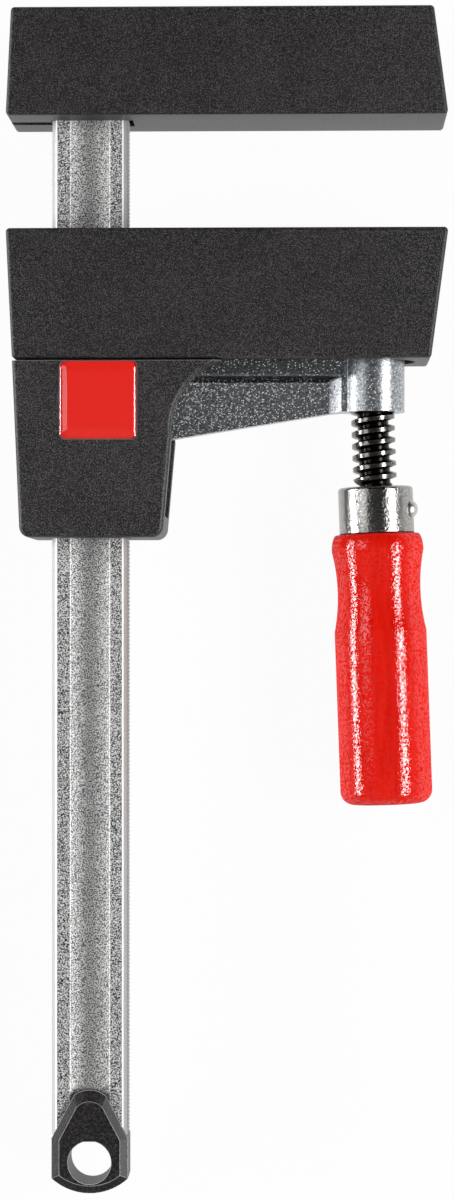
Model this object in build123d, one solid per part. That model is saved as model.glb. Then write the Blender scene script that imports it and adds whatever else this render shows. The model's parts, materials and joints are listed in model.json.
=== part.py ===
from build123d import *
import math
import os

# Parallel clamp with a 160 mm opening: rail, fixed jaw, sliding jaw, gripping arm, screw and turned handle.
# Lengths are in millimetres and angles in degrees.
# X runs from the rail to the jaws' noses, Y along the rail to the fixed jaw, Z out of the broad side.
# While the pieces are modelled, zero is on the rail's centre line, level with the fixed jaw's clamping face.
# The finished pieces are then moved together, so that the clamp lies on Z = 0 and is centred in X and Y.

# Angles that arcs and turned axes need
quarter_turn = 90.0

# Rail
rail_width = 19.5
rail_thickness = 9.5
rail_corner = 1.2
rail_groove_width = 10.2
rail_groove_depth = 1.5
rail_spare = 20.6
largest_opening = 160.0

# Jaw casings
jaw_depth = 30.0
jaw_back_reach = 20.8
jaw_nose_reach = 91.0
jaw_back_lean = 2.8
jaw_nose_lean = 7.6
jaw_edge_radius = 1.0
clamping_wall = 3.0
fixed_jaw_height = 27.4
sliding_jaw_height = 33.0
opening_at_rest = 28.5
guide_clearance = 0.3

# Fixed jaw's back slit, and the gap that it leaves on the throat side of the rail
back_slit_width = 4.5
throat_notch = 1.2

# Fixed jaw's metal core and its two pins
core_socket_wall = 4.75
core_half_depth = 11.5
core_nose_wall = 8.0
core_tip_height = 13.0
core_flange = 3.5
core_web = 6.0
core_fit = 0.05
moulding_gap = 0.1
jaw_pin_diameter = 5.0
jaw_pin_fit = 0.02

# Sliding jaw's cavity and steel channel
cavity_back_wall = 4.3
boss_side_clearance = 2.6
channel_sheet = 1.8
channel_height = 12.0
channel_gap = 0.1

# Neck housing
neck_back_lean = 2.5
neck_throat_lean = 5.0
neck_flare_radius = 18.9
neck_flare_lean = 19.0
neck_throat_reach = 21.0
neck_back_wall = 2.3
neck_floor = 5.4
neck_corner_radius = 2.8
neck_edge_radius = 1.2
neck_inner_clearance = 1.5
seam_gap = 0.5
rim_height = 4.0
rim_thickness = 1.2

# Badge: a printed foil under a domed clear resin
badge_width = 19.4
badge_height = 19.6
badge_corner = 1.4
badge_recess = 0.6
badge_foil = 0.2
badge_thickness = 1.5
badge_crown_width = 1.2
badge_crown_depth = 0.9
badge_offset = 2.7
badge_drop = 0.7
badge_fit = 0.1

# Sliding arm
arm_travel = 18.0
arm_half_width = 8.5
arm_back_wall = 3.65
arm_back_play = 1.0
arm_front_play = 0.4
arm_front_wall = 5.85
arm_head_drop = 4.0
arm_heel_drop = 20.6
arm_head_height = 14.0
arm_shoulder_run = 11.0
arm_web = 5.0
arm_web_fillet = 2.0
arm_head_edge = 0.5
arm_head_end = 7.2
arm_cup_gap = 1.2
arm_stop_gap = 1.2
boss_radius = 8.2
boss_drop = 12.9
boss_ramp_reach = 11.2
boss_ramp_end = 8.0
boss_ramp_half = 5.1
boss_fillet = 0.6
boss_cup_gap = 5.0
screw_reach = 72.1
screw_tilt = 2.06

# Screw: blank of the trapezoidal thread, plain neck and ball tip
thread_radius = 5.6
thread_core_radius = 3.95
thread_fit = 0.1
thread_runout = 1.6
thread_lead_in = 1.2
screw_neck_radius = 3.0
ball_radius = 4.5
tang_length = 52.0

# Thrust cup and its snap ring
cup_radius = 8.0
cup_roof = 0.9
cup_skirt = 6.0
cup_seat_angle = 45.0
ball_fit = 0.05
cup_mouth_fit = 0.15
ring_height = 1.2
ring_inner_radius = 3.8
ring_outer_radius = 5.2
ring_split = 2.4
ring_fit = 0.1

# Ferrule and cross pin
ferrule_radius = 9.6
ferrule_height = 12.0
ferrule_wall = 1.2
ferrule_top = 1.5
ferrule_edge = 0.9
ferrule_stop_gap = 1.1
ferrule_fit = 0.05
cross_pin_radius = 1.6
cross_pin_fit = 0.03
cross_pin_head_radius = 2.25
cross_pin_head_height = 1.3
cross_pin_head_width = 1.3
cross_pin_head_bevel = 1.0
cross_pin_turn = 15.0

# Turned handle
handle_length = 69.0
handle_radius = 11.75
handle_collar_radius = 10.3
handle_neck_radius = 10.6
handle_collar_length = 4.2
handle_shoulder_length = 24.8
handle_end_radius = 3.4
handle_bore_spare = 0.5

# Rail end cap with its hanging hole
cap_cover = 2.0
cap_end_length = 14.6
cap_end_radius = 14.5
cap_side_length = 14.0
cap_length = 26.3
cap_tongue_width = 8.0
cap_tongue_rise = 1.4
cap_bevel_width = 2.0
cap_bevel_depth = 1.0
cap_bevel_drop = 2.9
cap_fit = 0.05
hanging_hole_radius = 5.5
hanging_hole_flat = 5.3
hanging_hole_rise = 7.9

# One overrun for every cut that runs out of a piece, and the nearness at which two places count as one
overrun = 2.0
nearness = 0.2

# Levels along the rail, from the fixed jaw down
core_top_y = fixed_jaw_height - clamping_wall
sliding_face_y = -opening_at_rest
channel_top_y = sliding_face_y - clamping_wall
cup_top_y = channel_top_y - channel_sheet
ball_y = cup_top_y - cup_roof - ball_radius - ball_fit
cup_bottom_y = ball_y - cup_skirt
seam_y = sliding_face_y - sliding_jaw_height
arm_top_y = channel_top_y - channel_height - arm_cup_gap
arm_head_y = seam_y - arm_head_drop
arm_heel_y = seam_y - arm_heel_drop
boss_top_y = cup_bottom_y - boss_cup_gap
boss_bottom_y = seam_y - boss_drop
neck_slot_y = arm_heel_y - arm_travel - arm_stop_gap
neck_bottom_y = neck_slot_y - neck_floor
rail_end_y = neck_bottom_y + opening_at_rest - largest_opening - rail_spare
cap_bottom_y = rail_end_y - cap_end_length

# Reaches across the rail
cavity_back_x = -jaw_back_reach + cavity_back_wall
cavity_half = boss_radius + boss_side_clearance
neck_half = arm_half_width + neck_inner_clearance
neck_flare_x = neck_throat_reach + neck_flare_radius
neck_back_x = -jaw_back_reach + sliding_jaw_height * math.tan(math.radians(jaw_back_lean))
arm_window_back_x = -rail_width / 2 - arm_back_play
arm_window_front_x = rail_width / 2 + arm_front_play
arm_back_x = arm_window_back_x - arm_back_wall
arm_front_x = arm_window_front_x + arm_front_wall
ball_x = screw_reach - (ball_y - boss_bottom_y) * math.tan(math.radians(screw_tilt))

# Heights along the screw's own axis, from the point where it leaves the boss at rest
ball_height = (ball_y - boss_bottom_y) / math.cos(math.radians(screw_tilt))
thread_top = (boss_top_y - boss_bottom_y) / math.cos(math.radians(screw_tilt))
ferrule_crown = -arm_travel - ferrule_stop_gap
ferrule_foot = ferrule_crown - ferrule_height
cross_pin_height = ferrule_crown - ferrule_height / 2
tang_end = ferrule_crown - tang_length
handle_end = ferrule_foot - handle_length

# Local frames: the screw's tilted axis, pointing from handle to ball, and the thrust cup's upright one
tilt_sine = math.sin(math.radians(screw_tilt))
tilt_cosine = math.cos(math.radians(screw_tilt))
screw_foot = (screw_reach, boss_bottom_y, 0)
screw_axis = Plane(screw_foot, x_dir=(tilt_cosine, tilt_sine, 0), z_dir=(-tilt_sine, tilt_cosine, 0))
cup_axis = Plane((ball_x, ball_y, 0), x_dir=(1, 0, 0), z_dir=(0, 1, 0))

# Cross pin's place on the screw's axis, with its own length along Z
pin_place = Rot(0, 0, -cross_pin_turn) * Pos(0, 0, cross_pin_height) * Rot(0, quarter_turn, 0)


def block(low, high):
    """Box between two opposite corners."""
    return Pos(*low) * Box(*(Vector(*high) - Vector(*low)), align=Align.MIN)


def polygon(*points):
    """Flat face with the given corners."""
    return make_face(Polyline(*points, close=True))


def along_rail(section, low, high):
    """Section drawn in X and Z, extruded between two levels of Y."""
    return extrude(Plane.XZ.offset(-high) * section, amount=high - low)


def through_depth(side_view, half_depth):
    """Side view drawn in X and Y, extruded to both sides of the middle plane."""
    return extrude(side_view, amount=half_depth, both=True)


def turned(*points):
    """Solid turned about Z, from corners given as radius and height."""
    return revolve(Plane.XZ * polygon(*points), axis=Axis.Z)


def rod(radius, low, high):
    """Round rod along Z between two heights."""
    return Pos(0, 0, low) * Cylinder(radius, high - low, align=(Align.CENTER, Align.CENTER, Align.MIN))


def rail_section():
    """Flat bar with bevelled corners and a shallow round groove along each broad face."""
    groove_radius = (rail_groove_width**2 / 4 + rail_groove_depth**2) / (2 * rail_groove_depth)
    groove_centre = rail_thickness / 2 - rail_groove_depth + groove_radius
    bar = Rectangle(rail_width, rail_thickness)
    bar = chamfer(bar.vertices(), rail_corner)
    for side in (-1, 1):
        bar -= Pos(0, side * groove_centre) * Circle(groove_radius)
    return bar


def rail_window(back_gap, front_gap, side_gap):
    """Rectangular passage for the rail, with its own gap at the back, at the throat and at each side."""
    width = rail_width + back_gap + front_gap
    return Pos((front_gap - back_gap) / 2, 0) * Rectangle(width, rail_thickness + 2 * side_gap)


def jaw_side(face_y, far_y):
    """Jaw seen from the broad side: both ends lean in from the clamping face, the nose end more."""
    height = abs(far_y - face_y)
    back_step = height * math.tan(math.radians(jaw_back_lean))
    nose_step = height * math.tan(math.radians(jaw_nose_lean))
    return polygon(
        (-jaw_back_reach, face_y),
        (jaw_nose_reach, face_y),
        (jaw_nose_reach - nose_step, far_y),
        (-jaw_back_reach + back_step, far_y),
    )


def core_side():
    """Fixed jaw's core from the broad side: a socket round the rail and a beam that tapers to its tip."""
    socket_reach = rail_width / 2 + core_socket_wall
    beam_end = jaw_nose_reach - core_nose_wall
    return polygon(
        (-socket_reach, clamping_wall),
        (beam_end, clamping_wall),
        (beam_end, clamping_wall + core_tip_height),
        (socket_reach, core_top_y),
        (-socket_reach, core_top_y),
    )


def core_side_pocket():
    """Recess in each side of the beam, which leaves an I section with a closed end."""
    start = rail_width / 2 + core_socket_wall
    end = jaw_nose_reach - core_nose_wall - core_flange
    low = clamping_wall + core_flange
    return polygon(
        (start, low),
        (end, low),
        (end, clamping_wall + core_tip_height - core_flange),
        (start, core_top_y - core_flange),
    )


def jaw_pin_levels():
    """Two levels, at a quarter and three quarters of the core's height."""
    height = core_top_y - clamping_wall
    return [clamping_wall + height / 4, clamping_wall + 3 * height / 4]


def jaw_pin_rods(radius):
    """Two rods through the core and the rail, square to the broad side."""
    return [Pos(0, level, 0) * rod(radius, -core_half_depth, core_half_depth) for level in jaw_pin_levels()]


def make_rail():
    """Rail, cross drilled for the fixed jaw's pins."""
    rail = along_rail(rail_section(), rail_end_y, core_top_y)
    for hole in jaw_pin_rods(jaw_pin_diameter / 2 + jaw_pin_fit):
        rail -= hole
    return rail


def make_fixed_jaw_shell():
    """Casing moulded round the core, open only at the rail and along the slit behind it."""
    shell = through_depth(jaw_side(0, fixed_jaw_height), jaw_depth / 2)
    shell = fillet(shell.edges(), jaw_edge_radius)
    pocket_side = offset(core_side(), moulding_gap, kind=Kind.INTERSECTION)
    shell -= through_depth(pocket_side, core_half_depth + moulding_gap)
    window = rail_window(guide_clearance, throat_notch, guide_clearance)
    shell -= along_rail(window, -overrun, clamping_wall + overrun)
    slit = block(
        (-jaw_back_reach - overrun, -overrun, -back_slit_width / 2),
        (-rail_width / 2, core_top_y, back_slit_width / 2),
    )
    return shell - slit


def make_fixed_jaw_core():
    """Metal arm inside the fixed jaw."""
    core = through_depth(core_side(), core_half_depth)
    recess_depth = core_half_depth - core_web / 2
    for side in (-1, 1):
        recess = extrude(core_side_pocket(), amount=recess_depth + overrun)
        start = core_web / 2 if side > 0 else -core_half_depth - overrun
        core -= Pos(0, 0, start) * recess
    window = rail_window(core_fit, core_fit, core_fit)
    core -= along_rail(window, clamping_wall - overrun, core_top_y + overrun)
    for hole in jaw_pin_rods(jaw_pin_diameter / 2 + jaw_pin_fit):
        core -= hole
    return core


def make_fixed_jaw_pins():
    """Two steel pins that hold the rail in the core."""
    return Compound(children=jaw_pin_rods(jaw_pin_diameter / 2))


def cavity_plan(inset):
    """Sliding jaw's cavity seen along the rail: parallel sides and a round end about the arm's boss."""
    half = cavity_half - inset
    back = cavity_back_x + inset
    straight = Pos((screw_reach + back) / 2, 0) * Rectangle(screw_reach - back, 2 * half)
    return straight + Pos(screw_reach, 0) * Circle(half)


def make_sliding_jaw_shell():
    """Casing of the sliding jaw, open below for the arm."""
    shell = through_depth(jaw_side(sliding_face_y, seam_y), jaw_depth / 2)
    shell = fillet(shell.edges(), jaw_edge_radius)
    shell -= along_rail(cavity_plan(0), seam_y - overrun, channel_top_y)
    window = rail_window(guide_clearance, guide_clearance, guide_clearance)
    return shell - along_rail(window, channel_top_y - overrun, sliding_face_y + overrun)


def make_jaw_channel():
    """Pressed steel channel that spreads the screw's thrust under the clamping face."""
    bottom = channel_top_y - channel_height
    channel = along_rail(cavity_plan(channel_gap), bottom, channel_top_y)
    hollow = cavity_plan(channel_gap + channel_sheet)
    channel -= along_rail(hollow, bottom - overrun, channel_top_y - channel_sheet)
    window = rail_window(guide_clearance, guide_clearance, guide_clearance)
    return channel - along_rail(window, bottom - overrun, channel_top_y + overrun)


def neck_side():
    """Neck seen from the broad side: it flares out under the jaw and leans in on both sides further down."""
    top = seam_y - seam_gap
    depth = top - neck_bottom_y
    back_step = depth * math.tan(math.radians(neck_back_lean))
    flare_centre = (neck_flare_x, top - neck_flare_radius * math.cos(math.radians(neck_flare_lean)))
    flare_turn = quarter_turn + neck_throat_lean - neck_flare_lean
    flare = CenterArc(flare_centre, neck_flare_radius, quarter_turn + neck_flare_lean, flare_turn)
    flare_start = flare @ 0
    flare_end = flare @ 1
    throat_step = (flare_end.Y - neck_bottom_y) * math.tan(math.radians(neck_throat_lean))
    rest = Polyline(
        flare_end,
        (flare_end.X - throat_step, neck_bottom_y),
        (neck_back_x + back_step, neck_bottom_y),
        (neck_back_x, top),
        flare_start,
    )
    side = make_face([*flare.edges(), *rest.edges()])
    low_corners = side.vertices().group_by(Axis.Y)[0]
    return fillet(low_corners, neck_corner_radius)


def neck_cavity_side():
    """Room for the arm inside the neck, open to the throat and to the jaw above."""
    top = seam_y + rim_height + overrun
    back = neck_back_x + neck_back_wall
    back_step = (seam_y - neck_slot_y) * math.tan(math.radians(neck_back_lean))
    front = neck_flare_x + overrun
    return polygon(
        (back, top),
        (back, seam_y),
        (back + back_step, neck_slot_y),
        (front, neck_slot_y),
        (front, top),
    )


def badge_centre():
    """Middle of the badge on the neck's broad side."""
    return (badge_offset, seam_y - badge_drop - badge_height / 2)


def badge_outline(grow):
    """Square badge with rounded corners."""
    outline = RectangleRounded(badge_width + 2 * grow, badge_height + 2 * grow, badge_corner + grow)
    return Pos(*badge_centre()) * outline


def make_neck_housing():
    """Casing round the arm's sleeve, with a rim that plugs into the jaw's cavity."""
    neck = through_depth(neck_side(), jaw_depth / 2)
    top = seam_y - seam_gap
    outer_edges = neck.faces().sort_by(Axis.Z)[0].edges() + neck.faces().sort_by(Axis.Z)[-1].edges()
    rounded = [edge for edge in outer_edges if edge.center().Y < top - nearness]
    neck = fillet(rounded, neck_edge_radius)
    rim_low = seam_y - rim_height
    rim_front = neck_throat_reach + neck_flare_radius / 4
    rim_back = cavity_back_x + channel_gap
    rim_half = cavity_half - channel_gap
    neck += block((rim_back, rim_low, -rim_half), (rim_front, seam_y + rim_height, rim_half))
    neck -= through_depth(neck_cavity_side(), neck_half)
    inner_half = rim_half - rim_thickness
    upper_room = block(
        (rim_back + rim_thickness, rim_low, -inner_half),
        (rim_front + overrun, seam_y + rim_height + overrun, inner_half),
    )
    neck -= upper_room
    window = rail_window(guide_clearance, guide_clearance, guide_clearance)
    neck -= along_rail(window, neck_bottom_y - overrun, neck_slot_y + overrun)
    recess = extrude(badge_outline(badge_fit), amount=badge_recess + overrun)
    return neck - Pos(0, 0, jaw_depth / 2 - badge_recess) * recess


def make_badge_foil():
    """Printed foil at the bottom of the badge's recess."""
    foil = extrude(badge_outline(0), amount=badge_foil)
    return Pos(0, 0, jaw_depth / 2 - badge_recess) * foil


def make_badge_dome():
    """Clear resin poured over the foil, drawn in along its rim."""
    dome = extrude(badge_outline(0), amount=badge_thickness - badge_foil)
    crown = dome.faces().sort_by(Axis.Z)[-1]
    dome = chamfer(crown.edges(), badge_crown_width, badge_crown_depth, reference=crown)
    return Pos(0, 0, jaw_depth / 2 - badge_recess + badge_foil) * dome


def arm_side():
    """Whole arm seen from the broad side."""
    head_top = arm_head_y + arm_head_height
    shoulder = arm_front_x + arm_shoulder_run
    boss_back = screw_reach - boss_radius
    boss_front = screw_reach + boss_radius + overrun
    return polygon(
        (arm_back_x, arm_top_y),
        (arm_front_x, arm_top_y),
        (shoulder, head_top),
        (boss_back, head_top),
        (boss_back, boss_top_y),
        (boss_front, boss_top_y),
        (boss_front, boss_bottom_y),
        (boss_back, boss_bottom_y),
        (arm_front_x, arm_heel_y),
        (arm_back_x, arm_heel_y),
    )


def arm_beam():
    """Beam of T section from the sleeve to the boss, its wide head above and its web below."""
    web_height = arm_head_y - arm_heel_y
    head = Pos((arm_head_y + arm_top_y) / 2, 0) * Rectangle(arm_top_y - arm_head_y, 2 * arm_half_width)
    web = Pos(arm_head_y - web_height / 2, 0) * Rectangle(web_height, arm_web)
    section = head + web
    inner_corners = [
        corner
        for corner in section.vertices()
        if abs(corner.X - arm_head_y) < nearness and abs(corner.Y) < arm_half_width - nearness
    ]
    section = fillet(inner_corners, arm_web_fillet)
    head_corners = [corner for corner in section.vertices() if abs(abs(corner.Y) - arm_half_width) < nearness]
    section = fillet(head_corners, arm_head_edge)
    return extrude(Plane.YZ.offset(arm_front_x) * section, amount=screw_reach - arm_head_end - arm_front_x)


def arm_boss():
    """Round boss on the end of the web, which climbs to it on a steep ramp with a short level top."""
    web = Pos((arm_front_x + screw_reach) / 2, 0) * Rectangle(screw_reach - arm_front_x, arm_web)
    ramp = polygon(
        (screw_reach - boss_ramp_reach, -arm_web / 2),
        (screw_reach - boss_ramp_end, -boss_ramp_half),
        (screw_reach, -boss_ramp_half),
        (screw_reach, boss_ramp_half),
        (screw_reach - boss_ramp_end, boss_ramp_half),
        (screw_reach - boss_ramp_reach, arm_web / 2),
    )
    plan = web + ramp + Pos(screw_reach, 0) * Circle(boss_radius)
    ramp_start = screw_reach - boss_ramp_reach
    joints = [corner for corner in plan.vertices() if ramp_start + nearness < corner.X < screw_reach]
    plan = fillet(joints, boss_fillet)
    return along_rail(plan, arm_heel_y, boss_top_y)


def make_sliding_arm():
    """Cast arm: a sleeve that tips and grips on the rail, a T beam and the threaded boss."""
    sleeve = block(
        (arm_back_x, arm_heel_y, -arm_half_width),
        (arm_front_x, arm_top_y, arm_half_width),
    )
    arm = (sleeve + arm_beam() + arm_boss()) & through_depth(arm_side(), arm_half_width + overrun)
    window = rail_window(arm_back_play, arm_front_play, arm_front_play)
    arm -= along_rail(window, arm_heel_y - overrun, arm_top_y + overrun)
    bore = rod(thread_radius + thread_fit, -overrun, thread_top + overrun)
    return arm - screw_axis.location * bore


def make_spindle():
    """Screw: tang, run-out, thread at its outer diameter, neck and ball."""
    shaft = turned(
        (0, tang_end),
        (thread_core_radius, tang_end),
        (thread_core_radius, ferrule_crown),
        (thread_radius, ferrule_crown + thread_runout),
        (thread_radius, thread_top - thread_lead_in),
        (thread_core_radius, thread_top),
        (screw_neck_radius, thread_top),
        (screw_neck_radius, ball_height),
        (0, ball_height),
    )
    screw = shaft + Pos(0, 0, ball_height) * Sphere(ball_radius)
    return screw_axis.location * (screw - cross_pin_rod(cross_pin_radius + cross_pin_fit))


def make_thrust_cup():
    """Steel cup under the channel, with a round seat for the screw's ball and a groove for the snap ring."""
    mouth_radius = ball_radius + cup_mouth_fit
    touch = math.radians(cup_seat_angle)
    seat_point = (ball_radius + ball_fit) / math.sin(touch)
    seat_low = seat_point - mouth_radius / math.tan(touch)
    seat_end = cup_top_y - ball_y - cup_roof
    seat_radius = (seat_point - seat_end) * math.tan(touch)
    hollow = turned(
        (0, -cup_skirt - overrun),
        (mouth_radius, -cup_skirt - overrun),
        (mouth_radius, seat_low),
        (seat_radius, seat_end),
        (0, seat_end),
    )
    cup = rod(cup_radius, -cup_skirt, cup_top_y - ball_y) - hollow
    groove = rod(ring_outer_radius + ring_fit, ring_low() - ring_fit, ring_low() + ring_height + ring_fit)
    return cup_axis.location * (cup - groove)


def ring_low():
    """Height of the snap ring's lower side when its inner edge just clears the ball's underside."""
    drop = math.sqrt((ball_radius + ball_fit) ** 2 - ring_inner_radius**2)
    return -drop - ring_height


def make_snap_ring():
    """Split ring of square wire that keeps the ball in its cup."""
    ring = rod(ring_outer_radius, ring_low(), ring_low() + ring_height)
    ring -= rod(ring_inner_radius, ring_low() - overrun, 0)
    split = block(
        (0, -ring_split / 2, ring_low() - overrun),
        (ring_outer_radius + overrun, ring_split / 2, 0),
    )
    return cup_axis.location * (ring - split)


def cross_pin_rod(radius):
    """Rod across the ferrule, at the pin's level and turned towards the broad side."""
    half_length = ferrule_radius + overrun
    return pin_place * rod(radius, -half_length, half_length)


def make_cross_pin():
    """Riveted pin with a bevelled head at each end."""
    pin = rod(cross_pin_radius, -ferrule_radius, ferrule_radius)
    head = rod(cross_pin_head_radius, ferrule_radius, ferrule_radius + cross_pin_head_height)
    crown = head.faces().sort_by(Axis.Z)[-1]
    head = chamfer(crown.edges(), cross_pin_head_width, cross_pin_head_bevel, reference=crown)
    return screw_axis.location * pin_place * (pin + head + mirror(head, about=Plane.XY))


def make_ferrule():
    """Steel sleeve on the handle's spigot, closed above but for the screw's hole."""
    ferrule = rod(ferrule_radius, ferrule_foot, ferrule_crown)
    ferrule = chamfer(ferrule.edges().group_by(Axis.Z)[-1], ferrule_edge)
    ferrule -= rod(ferrule_radius - ferrule_wall, ferrule_foot - overrun, ferrule_crown - ferrule_top)
    ferrule -= rod(thread_core_radius + ferrule_fit, ferrule_foot, ferrule_crown + overrun)
    return screw_axis.location * (ferrule - cross_pin_rod(cross_pin_radius + cross_pin_fit))


def handle_profile():
    """Half of the handle's outline: spigot, bulged collar, hollow neck for the fingers, straight grip."""
    spigot_radius = ferrule_radius - ferrule_wall - ferrule_fit
    spigot_top = ferrule_crown - ferrule_top
    collar_low = ferrule_foot - handle_collar_length
    shoulder = ferrule_foot - handle_shoulder_length
    neck_middle = (collar_low + shoulder) / 2
    collar = TangentArc((handle_radius, collar_low), (handle_collar_radius, ferrule_foot), tangent=(0, 1))
    hollow = ThreePointArc(
        (handle_radius, collar_low),
        (handle_neck_radius, neck_middle),
        (handle_radius, shoulder),
    )
    grip = Polyline((handle_radius, shoulder), (handle_radius, handle_end), (0, handle_end), (0, spigot_top))
    spigot = Polyline(
        (0, spigot_top),
        (spigot_radius, spigot_top),
        (spigot_radius, ferrule_foot),
        (handle_collar_radius, ferrule_foot),
    )
    return make_face([*collar.edges(), *hollow.edges(), *grip.edges(), *spigot.edges()])


def make_handle():
    """Turned wooden handle, bored for the screw's tang."""
    handle = revolve(Plane.XZ * handle_profile(), axis=Axis.Z)
    handle = fillet(handle.edges().group_by(Axis.Z)[0], handle_end_radius)
    handle -= rod(thread_core_radius + ferrule_fit, tang_end - handle_bore_spare, ferrule_crown)
    return screw_axis.location * (handle - cross_pin_rod(cross_pin_radius + cross_pin_fit))


def cap_side(inset, top_drop):
    """Cap seen from the broad side: straight sides, a tongue that tapers to a low arch, and a bowed end.
    Its level face inside the bevel has the same shape, drawn in by an inset and lower at its top."""
    tongue_flank = cap_length - cap_tongue_rise - cap_side_length
    flank_lean = math.atan((rail_width - cap_tongue_width) / 2 / tongue_flank)
    half = rail_width / 2 - inset
    top_y = cap_bottom_y + cap_length - top_drop
    arch_y = top_y - cap_tongue_rise
    shoulder_y = cap_bottom_y + cap_side_length - inset * math.tan(flank_lean / 2)
    tongue_half = half - (arch_y - shoulder_y) * math.tan(flank_lean)
    low_y = cap_bottom_y + inset
    end_radius = cap_end_radius - inset
    corner_y = low_y + end_radius - math.sqrt(end_radius**2 - half**2)
    arch = ThreePointArc((-tongue_half, arch_y), (0, top_y), (tongue_half, arch_y))
    bow = ThreePointArc((-half, corner_y), (0, low_y), (half, corner_y))
    right = Polyline((tongue_half, arch_y), (half, shoulder_y), (half, corner_y))
    left = Polyline((-half, corner_y), (-half, shoulder_y), (-tongue_half, arch_y))
    return make_face([*arch.edges(), *right.edges(), *bow.edges(), *left.edges()])


def make_rail_end_cap():
    """Plastic cap: a tongue over each broad face of the rail, and an end with a hole to hang the clamp by."""
    half = rail_thickness / 2 + cap_cover
    side = cap_side(0, 0)
    inner_side = cap_side(cap_bevel_width, cap_bevel_drop)
    bevel = loft([Pos(0, 0, half - cap_bevel_depth) * side, Pos(0, 0, half) * inner_side], ruled=True)
    cap = through_depth(side, half - cap_bevel_depth) + bevel + mirror(bevel, about=Plane.XY)
    seat = offset(rail_section(), cap_fit, kind=Kind.INTERSECTION)
    cap -= along_rail(seat, rail_end_y, cap_bottom_y + cap_length + overrun)
    hole_y = cap_bottom_y + hanging_hole_rise
    flat_height = hanging_hole_radius + hanging_hole_flat
    flat = Pos(0, hanging_hole_flat - flat_height / 2) * Rectangle(2 * hanging_hole_radius, flat_height)
    hole = Pos(0, hole_y) * (Circle(hanging_hole_radius) & flat)
    return cap - through_depth(hole, half + overrun)


pieces = {
    "rail": make_rail(),
    "fixed_jaw_shell": make_fixed_jaw_shell(),
    "fixed_jaw_core": make_fixed_jaw_core(),
    "fixed_jaw_pins": make_fixed_jaw_pins(),
    "rail_end_cap": make_rail_end_cap(),
    "sliding_jaw_shell": make_sliding_jaw_shell(),
    "jaw_channel": make_jaw_channel(),
    "neck_housing": make_neck_housing(),
    "badge_foil": make_badge_foil(),
    "badge_dome": make_badge_dome(),
    "thrust_cup": make_thrust_cup(),
    "snap_ring": make_snap_ring(),
    "sliding_arm": make_sliding_arm(),
    "spindle": make_spindle(),
    "ferrule": make_ferrule(),
    "cross_pin": make_cross_pin(),
    "handle": make_handle(),
}

# The clamp lies on its jaws' flat sides, centred on the origin seen from above.
reach = [piece.bounding_box() for piece in pieces.values()]
middle_x = (min(box.min.X for box in reach) + max(box.max.X for box in reach)) / 2
middle_y = (min(box.min.Y for box in reach) + max(box.max.Y for box in reach)) / 2
placing = Pos(-middle_x, -middle_y, jaw_depth / 2)

os.makedirs("parts", exist_ok=True)
for name, piece in pieces.items():
    export_step(placing * piece, f"parts/{name}.step")
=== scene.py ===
import json
import math

import bmesh
import bpy
from mathutils import Matrix, Vector


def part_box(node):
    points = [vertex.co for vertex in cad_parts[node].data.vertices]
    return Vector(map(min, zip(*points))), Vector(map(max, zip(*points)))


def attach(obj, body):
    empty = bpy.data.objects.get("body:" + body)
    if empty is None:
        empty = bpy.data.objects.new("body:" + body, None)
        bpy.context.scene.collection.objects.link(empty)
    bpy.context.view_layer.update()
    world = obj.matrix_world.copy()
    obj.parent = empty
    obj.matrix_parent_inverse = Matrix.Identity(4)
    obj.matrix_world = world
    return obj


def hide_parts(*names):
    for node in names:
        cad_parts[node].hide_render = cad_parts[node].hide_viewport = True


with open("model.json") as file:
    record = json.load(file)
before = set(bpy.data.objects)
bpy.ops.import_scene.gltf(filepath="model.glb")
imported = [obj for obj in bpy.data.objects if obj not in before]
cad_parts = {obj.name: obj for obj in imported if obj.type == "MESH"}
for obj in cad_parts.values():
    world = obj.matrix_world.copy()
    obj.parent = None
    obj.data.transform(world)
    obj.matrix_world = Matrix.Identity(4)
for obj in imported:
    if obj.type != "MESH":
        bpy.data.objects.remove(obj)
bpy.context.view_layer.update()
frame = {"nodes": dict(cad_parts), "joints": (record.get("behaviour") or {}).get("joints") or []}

MM = 0.001
quarter_turn = math.pi / 2

# Places taken from the frame
rail_low, rail_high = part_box("rail")
rail_x = (rail_low.x + rail_high.x) / 2
middle_z = (rail_low.z + rail_high.z) / 2
fixed_jaw_low, fixed_jaw_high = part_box("fixed_jaw_shell")
clamping_y = fixed_jaw_low.y
jaw_front_z = fixed_jaw_high.z
sliding_jaw_back_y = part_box("sliding_jaw_shell")[0].y
boss_end_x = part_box("sliding_arm")[1].x
ferrule_low, ferrule_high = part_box("ferrule")
ferrule_centre = (ferrule_low + ferrule_high) / 2
screw_joint = next(joint for joint in frame["joints"] if joint["name"] == "screw_turn")
screw_up = Vector(screw_joint["axis"]).normalized()
screw_side = Vector((screw_up.y, -screw_up.x, 0))

# The screw's own frame: zero in the middle of the ferrule, Z from the handle to the ball
screw_turned = Matrix((screw_side, screw_up.cross(screw_side), screw_up)).transposed().to_4x4()
screw_frame = Matrix.Translation(ferrule_centre) @ screw_turned

# Camera: over the throat, 827 mm above the jaws' front plane, with a long lens
camera_throat_reach = 56.1 * MM
camera_below_clamping = 128.8 * MM
camera_height = 857 * MM
camera_lens = 98.6
camera_nearest = 50 * MM
camera_farthest = 50000 * MM
aim_x_offset = -20.9 * MM
aim_y_offset = 6.3 * MM

# Rail: its form, then the painted edge highlights, blends and grain of its surface
rail_edge = 1.2 * MM
rail_edge_round = 0.25 * MM
rail_groove_width = 10.2 * MM
rail_groove_depth = 1.5 * MM
rail_edge_highlight = 0.3 * MM
rail_edge_highlight_core = 0.1 * MM
rail_groove_blend = 0.2 * MM
rail_bevel_before = 0.05 * MM
rail_bevel_past = 0.15 * MM
rail_grain = 0.31 * MM
rail_cloud = 7.0 * MM
rail_relief = 0.03 * MM

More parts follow.
